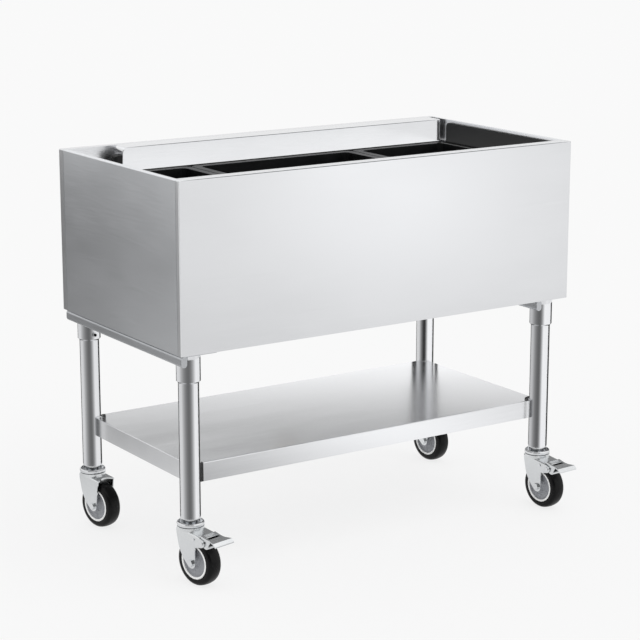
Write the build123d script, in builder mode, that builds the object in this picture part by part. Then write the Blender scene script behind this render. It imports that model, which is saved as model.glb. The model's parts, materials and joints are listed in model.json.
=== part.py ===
from build123d import *

import os
from math import cos, radians, sin

os.makedirs("parts", exist_ok=True)

# Cooler cart: an insulated steel ice bin with two bottle bins, on four tube legs with an undershelf.
# Millimetres, +Z up. The front faces -Y and the floor is z = 0, with the origin below the middle of
# the overall box, which runs from the front brake pedals to the back panel.

# Bin housing
WIDTH, DEPTH, RIM_Z = 965, 506, 818
PANEL_HEIGHT = 343
SHEET = 1.2
FOLD = 2
SEAM = 0.4
CUT_PAST = 1
FRONT_RETURN, FRONT_RIM = 12, 26
BACK_RETURN = 20
SIDE_RIM = 10
PAN_LIP = 15

# Well, its ledge and what stands in it
WELL_FLOOR = 501.2
WELL_COVE = 8
LEDGE_DEPTH, LEDGE_HEIGHT, LEDGE_LIP = 42, 50, 12
LEDGE_START, LEDGE_END_GAP = 117, 9
LEDGE_ROUND = 12
BUMPER_SIZE = (16, 24, 30)
BUMPER_DROP = 17
BOTTLE_BIN_WIDTH, TUB_DEPTH, TUB_RIM = 260, 411, 766
TUB_LIP, TUB_WALL, TUB_GAP, TUB_END_GAP = 14, 3, 3, 2
TUB_CORNER, TUB_FOOT_ROUND, TUB_DRAFT = 16, 5, 1.2
SPLASH_TOP, SPLASH_ROUND = 812, 10
TUB_OUTLET_R = 18
PLATE_WIDTH, PLATE_DEPTH, PLATE_HEIGHT, PLATE_SHEET = 358, 354, 24, 1.5
PLATE_HOLE_R, PLATE_PITCH, PLATE_HOLES = 5, 29, (12, 12)
PLATE_RIBS = (-3 * PLATE_PITCH, 0, 3 * PLATE_PITCH)
STANDING_GAP = 0.3

# Drain and its quarter-turn valve
DRAIN_FROM_FRONT = 375
DRAIN_R, DRAIN_BORE, DRAIN_FLANGE_R, DRAIN_FLANGE = 21, 16, 36, 2.8
DRAIN_END, DRAIN_SLEEVE_GAP = 446, 1
STRAINER_HOLE_R, STRAINER_RING = 2.5, 9.5
NUT_FLATS, NUT_HEIGHT = 52, 12
VALVE_R, VALVE_COLLAR_R, VALVE_COLLAR = 22, 27, 12
VALVE_CENTRE, VALVE_BOTTOM = 424, 380
OUTLET_Z, OUTLET_BORE, OUTLET_NECK_R, OUTLET_NECK_END = 396, 9.5, 17, 25
OUTLET_R, OUTLET_LENGTH = 13.35, 20
BALL_R, BALL_BORE = 15, 11
VALVE_STEM_R, VALVE_STEM_BOSS_R, VALVE_STEM_START = 5, 10, 12
VALVE_BOSS_END, VALVE_STEM_END = 28, 35
LEVER_LENGTH, LEVER_WIDTH, LEVER_THICK, LEVER_GAP, LEVER_EYE_R = 75, 14, 4, 0.5, 9.5

# Legs, their rails and sockets, and the shelf
LEG_INSET_X, LEG_INSET_Y, LEG_R, LEG_WALL = 38.5, 41, 20.65, 1.5
LEG_BOTTOM, LEG_TOP = 134, 468
SOCKET_FIT, NOTCH_FIT = 0.15, 0.1
RAIL_WIDTH, RAIL_SHEET, RAIL_DROP = 80, 1.5, 18
RAIL_REAR_GAP, RAIL_FLANGE_SETBACK, RIGHT_RAIL_SETBACK = 14, 75, 5
LIP_WIDTH, LIP_HEIGHT, LIP_ROUND = 13, 22, 6.4
SOCKET_R, SOCKET_BOTTOM, SOCKET_CHAMFER = 24.15, 412.5, 3
SCREW_Z, SCREW_R, SCREW_BOSS_R, SCREW_BOSS_REACH, SCREW_REACH = 426, 3, 5, 28, 30
SHELF_TOP, SHELF_EDGE, SHELF_SHEET, SHELF_RETURN = 242, 39, 1.5, 15
HAT_LENGTH, HAT_WIDTH, HAT_DEPTH, HAT_FLANGE = 760, 60, 24, 20

# Castors
CASTOR_TURN = {"front_left": 12.5, "front_right": 4.5, "rear_left": 12.5, "rear_right": 6}
TRAIL, TYRE_R, TYRE_HALF = 25, 50, 16.4
TREAD_HALF, TREAD_EDGE_R, SHOULDER_R = 9.5, 49, 40.5
CORE_R = 34
PLUG_R, PLUG_HEIGHT, NECK_R = 19.1, 45, 15
HEAD_BOTTOM, HEAD_TOP, HEAD_R, HEAD_ROUND = 118.5, 127.5, 28, 3.5
HEAD_LIP_R, HEAD_GROOVE = 24.6, 5
KING_R, KING_HEAD_R, KING_HEAD, KING_HEAD_TOP, KING_TOP = 6, 9.5, 6.5, 109.7, 178
CROWN_REAR, CROWN_NOSE, RACE_R = (18, 116.2), (-43.5, 108.5), 27.5
FORK_HALF, FORK_PLATE, FORK_BOSS_R = 23, 2.5, 11.5
HORN_PIN, HORN_R = (-54.5, 96.5), 8
RIVET = (-32, 100.3)
PIN_R, RIVET_R, PIN_HEAD = 3, 2.2, 1.5
AXLE_R, BUSH_R, AXLE_FLATS, AXLE_HEAD, AXLE_NUT, AXLE_END = 4, 6, 13, 4.6, 5.5, 7.2
HUB_HALF, HUB_R = 20.2, 10
CORE_HALF, WEB_HALF = 14.5, 11.5
PEDAL_REACH, PEDAL_SHEET, PEDAL_HALF, PEDAL_LIP_HALF = 98, 2.5, 19.8, 25.5
PEDAL_SLOT_X, PEDAL_SLOT_Y, PEDAL_FLARE_Y = (-15, 15), (-70, -60), (-76, -92)
RUNNING = 0.05

# Limits that follow from the driving dimensions
PEDAL_TURN = radians(max(CASTOR_TURN["front_left"], CASTOR_TURN["front_right"]))
PEDAL_FRONT = PEDAL_REACH * cos(PEDAL_TURN) + PEDAL_LIP_HALF * sin(PEDAL_TURN)
LEFT, RIGHT = -WIDTH / 2, WIDTH / 2
FRONT = (PEDAL_FRONT - LEG_INSET_Y - DEPTH) / 2
BACK = FRONT + DEPTH
BIN_BOTTOM = RIM_Z - PANEL_HEIGHT
WELL_X = (LEFT + SIDE_RIM, RIGHT - SIDE_RIM)
WELL_Y = (FRONT + FRONT_RIM, BACK - BACK_RETURN)
LEDGE_FRONT = WELL_Y[1] - LEDGE_DEPTH
LEDGE_BOTTOM = RIM_Z - LEDGE_HEIGHT
LEDGE_X = (LEFT + LEDGE_START, WELL_X[1] - LEDGE_END_GAP)
TUB_Y = (LEDGE_FRONT - TUB_GAP - TUB_DEPTH, LEDGE_FRONT - TUB_GAP)
BIN_END = WELL_X[1] - TUB_END_GAP
BIN_INNER = BIN_END - BOTTLE_BIN_WIDTH
TUBS = {
    "left_bottle_bin": ((-BIN_END, -BIN_INNER), -1),
    "ice_tub": ((TUB_GAP - BIN_INNER, BIN_INNER - TUB_GAP), 0),
    "right_bottle_bin": ((BIN_INNER, BIN_END), 1),
}
DRAIN = (0, FRONT + DRAIN_FROM_FRONT)
RAILS = {"left": (LEFT, FRONT), "right": (RIGHT - RAIL_WIDTH, FRONT + RIGHT_RAIL_SETBACK)}
LEG_X = (LEFT + LEG_INSET_X, RIGHT - LEG_INSET_X)
LEG_Y = (FRONT + LEG_INSET_Y, BACK - LEG_INSET_Y)
LEGS = {
    "front_left": (LEG_X[0], LEG_Y[0]),
    "front_right": (LEG_X[1], LEG_Y[0]),
    "rear_left": (LEG_X[0], LEG_Y[1]),
    "rear_right": (LEG_X[1], LEG_Y[1]),
}
SIDES = {"left": -1, "right": 1}
TO_FRONT, TO_REAR = (90, 0, 0), (-90, 0, 0)
UP = (Align.CENTER, Align.CENTER, Align.MIN)


def span(a, b):
    """Two limits in rising order."""
    return min(a, b), max(a, b)


def grown(limits, amount):
    """A pair of limits moved outwards by an amount."""
    return limits[0] - amount, limits[1] + amount


def block(x, y, z, mode=Mode.ADD):
    """Add or cut a box that lies between two limits on each axis."""
    limits = (x, y, z)
    with Locations(tuple(sum(pair) / 2 for pair in limits)):
        Box(*(pair[1] - pair[0] for pair in limits), mode=mode)


def on_circle(centre, radius, degrees):
    """The point of a circle at an angle from the first axis."""
    return (
        centre[0] + radius * cos(radians(degrees)),
        centre[1] + radius * sin(radians(degrees)),
    )


# Front panel: one folded sheet that wraps both corners, with a wide rim on top
with BuildPart() as front_panel:
    block((LEFT, RIGHT), (FRONT, FRONT + FRONT_RETURN), (BIN_BOTTOM, RIM_Z))
    face_edges = front_panel.faces().sort_by(Axis.Y)[0].edges().sort_by(Axis.Z)[1:]
    top_ends = front_panel.faces().sort_by(Axis.Z)[-1].edges().filter_by(Axis.Y)
    fillet(face_edges + top_ends, FOLD)
    block(
        (LEFT + SHEET, RIGHT - SHEET),
        (FRONT + SHEET, FRONT + 2 * FRONT_RETURN),
        (BIN_BOTTOM - CUT_PAST, RIM_Z - SHEET),
        Mode.SUBTRACT,
    )
    block(
        grown(WELL_X, -SEAM),
        (FRONT + FRONT_RETURN, FRONT + FRONT_RIM),
        (RIM_Z - SHEET, RIM_Z),
    )
front_panel.part.label = "front_panel"
export_step(front_panel.part, "parts/front_panel.step")

# Side panels: flat sheets with a narrow rim, butted between the front and back returns
for side, outward in SIDES.items():
    face = outward * WIDTH / 2
    panel_y = (FRONT + FRONT_RETURN + SEAM, BACK - BACK_RETURN - SEAM)
    with BuildPart() as side_panel:
        block(span(face, face - outward * SIDE_RIM), panel_y, (BIN_BOTTOM, RIM_Z))
        top_edges = side_panel.faces().sort_by(Axis.Z)[-1].edges().filter_by(Axis.Y)
        fillet(top_edges.sort_by(Axis.X)[-1 if outward > 0 else 0], FOLD)
        block(
            span(face - outward * SHEET, face - outward * 2 * SIDE_RIM),
            grown(panel_y, CUT_PAST),
            (BIN_BOTTOM - CUT_PAST, RIM_Z - SHEET),
            Mode.SUBTRACT,
        )
    side_panel.part.label = f"{side}_side_panel"
    export_step(side_panel.part, f"parts/{side}_side_panel.step")

# Back panel: folded round both corners, with a rim as deep as its side strips
with BuildPart() as back_panel:
    block((LEFT, RIGHT), (BACK - BACK_RETURN, BACK), (BIN_BOTTOM, RIM_Z))
    face_edges = back_panel.faces().sort_by(Axis.Y)[-1].edges().sort_by(Axis.Z)[1:]
    top_ends = back_panel.faces().sort_by(Axis.Z)[-1].edges().filter_by(Axis.Y)
    fillet(face_edges + top_ends, FOLD)
    block(
        (LEFT + SHEET, RIGHT - SHEET),
        (BACK - 2 * BACK_RETURN, BACK - SHEET),
        (BIN_BOTTOM - CUT_PAST, RIM_Z - SHEET),
        Mode.SUBTRACT,
    )
back_panel.part.label = "back_panel"
export_step(back_panel.part, "parts/back_panel.step")

# Base pan: a shallow tray that closes the housing from below
with BuildPart() as base_pan:
    pan_x, pan_y = (LEFT + SHEET, RIGHT - SHEET), (FRONT + SHEET, BACK - SHEET)
    block(pan_x, pan_y, (BIN_BOTTOM, BIN_BOTTOM + PAN_LIP))
    block(
        grown(pan_x, -SHEET),
        grown(pan_y, -SHEET),
        (BIN_BOTTOM + SHEET, BIN_BOTTOM + 2 * PAN_LIP),
        Mode.SUBTRACT,
    )
    with Locations((*DRAIN, BIN_BOTTOM)):
        Cylinder(DRAIN_R + RUNNING, 4 * SHEET, mode=Mode.SUBTRACT)
base_pan.part.label = "base_pan"
export_step(base_pan.part, "parts/base_pan.step")

# Well liner: a coved steel tank, open at the rim
with BuildPart() as well_liner:
    middle = (sum(WELL_X) / 2, sum(WELL_Y) / 2)
    with BuildSketch(Plane((*middle, WELL_FLOOR - SHEET))):
        RectangleRounded(
            WELL_X[1] - WELL_X[0] + 2 * SHEET,
            WELL_Y[1] - WELL_Y[0] + 2 * SHEET,
            WELL_COVE + SHEET,
        )
    extrude(amount=RIM_Z - WELL_FLOOR)
    fillet(well_liner.faces().sort_by(Axis.Z)[0].edges(), WELL_COVE + SHEET)
    offset(amount=-SHEET, openings=well_liner.faces().sort_by(Axis.Z)[-1])
    with Locations((*DRAIN, WELL_FLOOR)):
        Cylinder(DRAIN_R + RUNNING, 4 * SHEET, mode=Mode.SUBTRACT)
well_liner.part.label = "well_liner"
export_step(well_liner.part, "parts/well_liner.step")

# Insulation: foam that fills the space between housing and liner
with BuildPart() as insulation:
    foam_x, foam_y = (LEFT + SHEET, RIGHT - SHEET), (FRONT + SHEET, BACK - SHEET)
    pan_rim = BIN_BOTTOM + PAN_LIP
    block(grown(foam_x, -SHEET), grown(foam_y, -SHEET), (BIN_BOTTOM + SHEET, pan_rim))
    block(foam_x, foam_y, (pan_rim, RIM_Z - SHEET))
    block(
        grown(WELL_X, SHEET), grown(WELL_Y, SHEET), (WELL_FLOOR - SHEET, RIM_Z), Mode.SUBTRACT
    )
    with Locations((*DRAIN, BIN_BOTTOM)):
        Cylinder(DRAIN_R + DRAIN_SLEEVE_GAP, PANEL_HEIGHT, mode=Mode.SUBTRACT)
insulation.part.label = "insulation"
export_step(insulation.part, "parts/insulation.step")

# Rear ledge: a folded hollow shelf along the back of the well, open below, with a rounded left end
with BuildPart() as rear_ledge:
    block(LEDGE_X, (LEDGE_FRONT, WELL_Y[1]), (LEDGE_BOTTOM, RIM_Z))
    top_edges = rear_ledge.faces().sort_by(Axis.Z)[-1].edges()
    fillet(top_edges.filter_by(Axis.Y).sort_by(Axis.X)[0], LEDGE_ROUND)
    front_edges = rear_ledge.faces().sort_by(Axis.Y)[0].edges()
    fillet(front_edges.filter_by(Axis.X).sort_by(Axis.Z)[-1], FOLD)
    offset(amount=-SHEET, openings=rear_ledge.faces().sort_by(Axis.Z)[0])
    block(
        LEDGE_X,
        (LEDGE_FRONT, LEDGE_FRONT + LEDGE_LIP),
        (LEDGE_BOTTOM, LEDGE_BOTTOM + SHEET),
    )
rear_ledge.part.label = "rear_ledge"
export_step(rear_ledge.part, "parts/rear_ledge.step")

# Ledge bumper: a round-nosed rubber block on the ledge's left end
with BuildPart() as ledge_bumper:
    bumper_top = RIM_Z - BUMPER_DROP
    block(
        (LEDGE_X[0] - BUMPER_SIZE[0], LEDGE_X[0]),
        (LEDGE_FRONT + FOLD, LEDGE_FRONT + FOLD + BUMPER_SIZE[1]),
        (bumper_top - BUMPER_SIZE[2], bumper_top),
    )
    fillet(ledge_bumper.faces().sort_by(Axis.X)[0].edges(), BUMPER_SIZE[0] / 2)
ledge_bumper.part.label = "ledge_bumper"
export_step(ledge_bumper.part, "parts/ledge_bumper.step")

# Bottle bins and ice tub: moulded tubs that stand side by side in the well, each with a level lip.
# The bottle bins also have a splash wall along the end of the well, and the ice tub has an outlet.
for name, (tub_x, outward) in TUBS.items():
    tub_floor = WELL_FLOOR + STANDING_GAP + (0 if outward else DRAIN_FLANGE)
    middle = (sum(tub_x) / 2, sum(TUB_Y) / 2)
    lip = (tub_x[1] - tub_x[0], TUB_DEPTH)
    with BuildPart() as tub:
        with BuildSketch(Plane((*middle, TUB_RIM))):
            RectangleRounded(*(size - 2 * TUB_LIP for size in lip), TUB_CORNER)
        extrude(amount=tub_floor - TUB_RIM, taper=TUB_DRAFT)
        fillet(tub.faces().sort_by(Axis.Z)[0].edges(), TUB_FOOT_ROUND)
        with BuildSketch(Plane((*middle, TUB_RIM - TUB_WALL))):
            RectangleRounded(*lip, TUB_CORNER)
        extrude(amount=TUB_WALL)
        with BuildSketch(Plane((*middle, TUB_RIM))):
            RectangleRounded(*(size - 2 * (TUB_LIP + TUB_WALL) for size in lip), TUB_CORNER - TUB_WALL)
        extrude(amount=tub_floor + TUB_WALL - TUB_RIM, taper=TUB_DRAFT, mode=Mode.SUBTRACT)
        if outward:
            edge = tub_x[1] if outward > 0 else tub_x[0]
            splash_x = span(edge, edge - outward * TUB_WALL)
            block(splash_x, grown(TUB_Y, -TUB_CORNER), (TUB_RIM - TUB_WALL, SPLASH_TOP))
            fillet(tub.faces().sort_by(Axis.Z)[-1].edges().filter_by(Axis.X), SPLASH_ROUND)
        else:
            with Locations((*DRAIN, tub_floor)):
                Cylinder(TUB_OUTLET_R, 4 * TUB_WALL, mode=Mode.SUBTRACT)
    tub.part.label = name
    export_step(tub.part, f"parts/{name}.step")

# False bottom: a perforated plate on folded edges and ribs, which keeps the ice above the melt water
with BuildPart() as false_bottom:
    plate_foot = WELL_FLOOR + DRAIN_FLANGE + TUB_WALL + 2 * STANDING_GAP
    plate_middle = sum(TUB_Y) / 2
    block(
        (-PLATE_WIDTH / 2, PLATE_WIDTH / 2),
        (plate_middle - PLATE_DEPTH / 2, plate_middle + PLATE_DEPTH / 2),
        (plate_foot, plate_foot + PLATE_HEIGHT),
    )
    fillet(false_bottom.faces().sort_by(Axis.Z)[-1].edges(), FOLD)
    offset(amount=-PLATE_SHEET, openings=false_bottom.faces().sort_by(Axis.Z)[0])
    with Locations((0, plate_middle, plate_foot + PLATE_HEIGHT)):
        with GridLocations(PLATE_PITCH, PLATE_PITCH, *PLATE_HOLES):
            Cylinder(PLATE_HOLE_R, 4 * PLATE_SHEET, mode=Mode.SUBTRACT)
    for rib in PLATE_RIBS:
        block(
            (PLATE_SHEET - PLATE_WIDTH / 2, PLATE_WIDTH / 2 - PLATE_SHEET),
            (plate_middle + rib - PLATE_SHEET / 2, plate_middle + rib + PLATE_SHEET / 2),
            (plate_foot, plate_foot + PLATE_HEIGHT - PLATE_SHEET),
        )
false_bottom.part.label = "false_bottom"
export_step(false_bottom.part, "parts/false_bottom.step")

# Drain fitting: a flanged tube through the well's floor, with a pierced strainer in its mouth
with BuildPart(Plane((*DRAIN, 0))) as drain_fitting:
    with Locations((0, 0, DRAIN_END)):
        Cylinder(DRAIN_R, WELL_FLOOR + DRAIN_FLANGE - DRAIN_END, align=UP)
        Cylinder(DRAIN_BORE, WELL_FLOOR - DRAIN_END, align=UP, mode=Mode.SUBTRACT)
    with Locations((0, 0, WELL_FLOOR)):
        Cylinder(DRAIN_FLANGE_R, DRAIN_FLANGE, align=UP)
        with PolarLocations(STRAINER_RING, 8):
            Cylinder(STRAINER_HOLE_R, 4 * DRAIN_FLANGE, mode=Mode.SUBTRACT)
        Cylinder(STRAINER_HOLE_R, 4 * DRAIN_FLANGE, mode=Mode.SUBTRACT)
drain_fitting.part.label = "drain_fitting"
export_step(drain_fitting.part, "parts/drain_fitting.step")

# Drain nut: pulls the fitting tight against the base pan
with BuildPart() as drain_nut:
    with BuildSketch(Plane((*DRAIN, BIN_BOTTOM - NUT_HEIGHT))):
        RegularPolygon(NUT_FLATS / 2, 6, major_radius=False)
        Circle(DRAIN_R + RUNNING, mode=Mode.SUBTRACT)
    extrude(amount=NUT_HEIGHT)
drain_nut.part.label = "drain_nut"
export_step(drain_nut.part, "parts/drain_nut.step")

# Drain valve: body with a collar round the drain tube, a ball seat and an outlet that faces the rear
with BuildPart(Plane((*DRAIN, 0))) as drain_valve_body:
    with Locations((0, 0, DRAIN_END)):
        Cylinder(VALVE_COLLAR_R, VALVE_COLLAR, align=UP)
        Cylinder(DRAIN_R + RUNNING, VALVE_COLLAR, align=UP, mode=Mode.SUBTRACT)
    with Locations((0, 0, VALVE_BOTTOM)):
        Cylinder(VALVE_R, DRAIN_END - VALVE_BOTTOM, align=UP)
    with Locations(Location((0, 0, OUTLET_Z), TO_REAR)):
        Cylinder(OUTLET_NECK_R, OUTLET_NECK_END, align=UP)
        Cylinder(OUTLET_R, OUTLET_NECK_END + OUTLET_LENGTH, align=UP)
        Cylinder(OUTLET_BORE, OUTLET_NECK_END + OUTLET_LENGTH, align=UP, mode=Mode.SUBTRACT)
    with Locations(Location((0, 0, VALVE_CENTRE), TO_FRONT)):
        Cylinder(VALVE_STEM_BOSS_R, VALVE_BOSS_END, align=UP)
        Cylinder(VALVE_STEM_R + RUNNING, VALVE_BOSS_END, align=UP, mode=Mode.SUBTRACT)
    with Locations((0, 0, OUTLET_Z)):
        Cylinder(BALL_BORE, DRAIN_END - OUTLET_Z, align=UP, mode=Mode.SUBTRACT)
    with Locations((0, 0, VALVE_CENTRE)):
        Sphere(BALL_R + RUNNING, mode=Mode.SUBTRACT)
drain_valve_body.part.label = "drain_valve_body"
export_step(drain_valve_body.part, "parts/drain_valve_body.step")

# Drain valve ball with its stem; the bore lies across the flow when the valve is shut
with BuildPart(Plane((*DRAIN, VALVE_CENTRE))) as drain_valve_ball:
    Sphere(BALL_R)
    Cylinder(BALL_BORE, 3 * BALL_R, rotation=(0, 90, 0), mode=Mode.SUBTRACT)
    with Locations(Location((0, -VALVE_STEM_START, 0), TO_FRONT)):
        Cylinder(VALVE_STEM_R, VALVE_STEM_END - VALVE_STEM_START, align=UP)
drain_valve_ball.part.label = "drain_valve_ball"
export_step(drain_valve_ball.part, "parts/drain_valve_ball.step")

# Drain valve lever: a flat bar on the stem, level when the valve is shut
with BuildPart() as drain_valve_lever:
    lever_face = DRAIN[1] - VALVE_BOSS_END - LEVER_GAP
    with BuildSketch(Plane((DRAIN[0], lever_face, VALVE_CENTRE), x_dir=(1, 0, 0), z_dir=(0, -1, 0))):
        with Locations((LEVER_LENGTH / 2 - LEVER_WIDTH / 2, 0)):
            SlotOverall(LEVER_LENGTH, LEVER_WIDTH)
        Circle(LEVER_EYE_R)
        Circle(VALVE_STEM_R, mode=Mode.SUBTRACT)
    extrude(amount=LEVER_THICK)
drain_valve_lever.part.label = "drain_valve_lever"
export_step(drain_valve_lever.part, "parts/drain_valve_lever.step")

# Leg rails: alike channels under both ends, with a rolled lip on the left, hollow behind its closed front
# end, and a flange on the right
for side, (rail_start, rail_front) in RAILS.items():
    rail_x, rail_y = (rail_start, rail_start + RAIL_WIDTH), (rail_front, BACK - RAIL_REAR_GAP)
    with BuildPart() as leg_rail:
        lip_middle = (rail_start + LIP_WIDTH / 2, rail_front, BIN_BOTTOM - LIP_HEIGHT / 2)
        lip_end = Plane(lip_middle, x_dir=(1, 0, 0), z_dir=(0, 1, 0))
        with BuildSketch(lip_end):
            RectangleRounded(LIP_WIDTH, LIP_HEIGHT, LIP_ROUND)
        extrude(amount=rail_y[1] - rail_y[0])
        with BuildSketch(lip_end.offset(RAIL_SHEET)):
            lip_hollow = (LIP_WIDTH - 2 * RAIL_SHEET, LIP_HEIGHT - 2 * RAIL_SHEET)
            RectangleRounded(*lip_hollow, LIP_ROUND - RAIL_SHEET)
        extrude(amount=rail_y[1] - rail_y[0], mode=Mode.SUBTRACT)
        web_y = (max(rail_front, FRONT + SHEET), rail_y[1])
        block((rail_start + LIP_WIDTH / 2, rail_x[1]), web_y, (BIN_BOTTOM - RAIL_SHEET, BIN_BOTTOM))
        block(
            (rail_x[1] - RAIL_SHEET, rail_x[1]),
            (FRONT + RAIL_FLANGE_SETBACK, rail_y[1]),
            (BIN_BOTTOM - RAIL_DROP, BIN_BOTTOM),
        )
    leg_rail.part.label = f"{side}_leg_rail"
    export_step(leg_rail.part, f"parts/{side}_leg_rail.step")

# Leg sockets: short tubes under the rails, each with a boss for its set screw, which faces inwards
for corner, (leg_x, leg_y) in LEGS.items():
    inwards = 1 if leg_y < sum(LEG_Y) / 2 else -1
    screw_line = Location((0, 0, SCREW_Z), (-90 * inwards, 0, 0))
    with BuildPart(Plane((leg_x, leg_y, 0))) as leg_socket:
        with Locations((0, 0, SOCKET_BOTTOM)):
            Cylinder(SOCKET_R, BIN_BOTTOM - RAIL_SHEET - SOCKET_BOTTOM, align=UP)
        chamfer(leg_socket.faces().sort_by(Axis.Z)[0].edges(), SOCKET_CHAMFER)
        with Locations(screw_line):
            Cylinder(SCREW_BOSS_R, SCREW_BOSS_REACH, align=UP)
        with Locations((0, 0, SOCKET_BOTTOM)):
            Cylinder(LEG_R + SOCKET_FIT, PANEL_HEIGHT, mode=Mode.SUBTRACT)
        with Locations(screw_line):
            Cylinder(SCREW_R + RUNNING, 2 * SCREW_BOSS_REACH, align=UP, mode=Mode.SUBTRACT)
    leg_socket.part.label = f"{corner}_leg_socket"
    export_step(leg_socket.part, f"parts/{corner}_leg_socket.step")

# Set screws: one through each socket's boss, bearing on the leg, with a hexagon recess in its end
with BuildPart() as set_screws:
    for leg_x, leg_y in LEGS.values():
        inwards = 1 if leg_y < sum(LEG_Y) / 2 else -1
        with Locations(Location((leg_x, leg_y + inwards * LEG_R, SCREW_Z), (-90 * inwards, 0, 0))):
            Cylinder(SCREW_R, SCREW_REACH - LEG_R, align=UP)
    for leg_x, leg_y in LEGS.values():
        inwards = 1 if leg_y < sum(LEG_Y) / 2 else -1
        outer_end = Plane((leg_x, leg_y + inwards * SCREW_REACH, SCREW_Z), z_dir=(0, -inwards, 0))
        with BuildSketch(outer_end):
            RegularPolygon(SCREW_R / 2, 6)
        extrude(amount=SCREW_R, mode=Mode.SUBTRACT)
set_screws.part.label = "set_screws"
export_step(set_screws.part, "parts/set_screws.step")

# Legs: round tubes from above the castors up into the sockets
for corner, (leg_x, leg_y) in LEGS.items():
    with BuildPart(Plane((leg_x, leg_y, LEG_BOTTOM))) as leg:
        Cylinder(LEG_R, LEG_TOP - LEG_BOTTOM, align=UP)
        Cylinder(LEG_R - LEG_WALL, LEG_TOP - LEG_BOTTOM, align=UP, mode=Mode.SUBTRACT)
    leg.part.label = f"{corner}_leg"
    export_step(leg.part, f"parts/{corner}_leg.step")

# Undershelf: a sheet with folded edges on the leg centre lines, notched round the legs
with BuildPart() as undershelf:
    block(LEG_X, LEG_Y, (SHELF_TOP - SHELF_EDGE, SHELF_TOP))
    fillet(undershelf.faces().sort_by(Axis.Z)[-1].edges(), FOLD)
    offset(amount=-SHELF_SHEET, openings=undershelf.faces().sort_by(Axis.Z)[0])
    with BuildSketch(Plane((0, sum(LEG_Y) / 2, SHELF_TOP - SHELF_EDGE))):
        shelf_size = (LEG_X[1] - LEG_X[0], LEG_Y[1] - LEG_Y[0])
        Rectangle(*shelf_size)
        Rectangle(*(size - 2 * SHELF_RETURN for size in shelf_size), mode=Mode.SUBTRACT)
    extrude(amount=SHELF_SHEET)
    with Locations(*((x, y, SHELF_TOP) for x, y in LEGS.values())):
        Cylinder(LEG_R + NOTCH_FIT, 4 * SHELF_EDGE, mode=Mode.SUBTRACT)
undershelf.part.label = "undershelf"
export_step(undershelf.part, "parts/undershelf.step")

# Shelf stiffener: a hat channel welded under the middle of the shelf
with BuildPart() as shelf_stiffener:
    hat_x = (-HAT_LENGTH / 2, HAT_LENGTH / 2)
    hat_y = (sum(LEG_Y) / 2 - HAT_WIDTH / 2, sum(LEG_Y) / 2 + HAT_WIDTH / 2)
    hat_top = SHELF_TOP - SHELF_SHEET
    block(hat_x, grown(hat_y, HAT_FLANGE), (hat_top - SHELF_SHEET, hat_top))
    block(hat_x, hat_y, (hat_top - HAT_DEPTH, hat_top))
    block(
        grown(hat_x, CUT_PAST),
        grown(hat_y, -SHELF_SHEET),
        (hat_top - HAT_DEPTH + SHELF_SHEET, hat_top + CUT_PAST),
        Mode.SUBTRACT,
    )
shelf_stiffener.part.label = "shelf_stiffener"
export_step(shelf_stiffener.part, "parts/shelf_stiffener.step")

# Outlines of a fork's cheek and of the brake pedal, as (distance behind the swivel axis, height)
AXLE_POINT = (-TRAIL, TYRE_R)
BOSS_REAR = on_circle(AXLE_POINT, FORK_BOSS_R, -60)
BOSS_LOW = on_circle(AXLE_POINT, FORK_BOSS_R, -120)
BOSS_FRONT = on_circle(AXLE_POINT, FORK_BOSS_R, 180)
HORN_LOW = on_circle(HORN_PIN, HORN_R, -100)
HORN_TIP = on_circle(HORN_PIN, HORN_R, 180)
HORN_HIGH = on_circle(HORN_PIN, HORN_R, 100)
CROWN_SLOPE = (CROWN_REAR[1] - CROWN_NOSE[1]) / (CROWN_REAR[0] - CROWN_NOSE[0])
CROWN_TOP = CROWN_NOSE[1] - CROWN_SLOPE * CROWN_NOSE[0]
CHEEK_REAR = [CROWN_REAR, (17, 104), (11, 79)]
CHEEK_REAR_BEND = (-1, 57)
HORN_ROOT = (-36, 84.5)
INSIDE_REACH = 2 * TYRE_R
PEDAL_TOP = [(-46, 109.5), (-50, 111.5), (-66, 107.8), (-76, 106.8), (-92, 106.3), (-PEDAL_REACH, 100.5)]
PEDAL_EAR = [(-50.5, 109.5), (-66, 106), (-77, 105.2), (-71, 95), (-68, 87.2), (-63, 87.2), (-46.5, 94.5)]
SHOE_Y, SHOE_Z = (-68, -63), (87.2, 90.2)


def crown_height(y):
    """The height of a castor crown's sloping top at a distance behind the swivel axis."""
    return CROWN_TOP + CROWN_SLOPE * y


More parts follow.
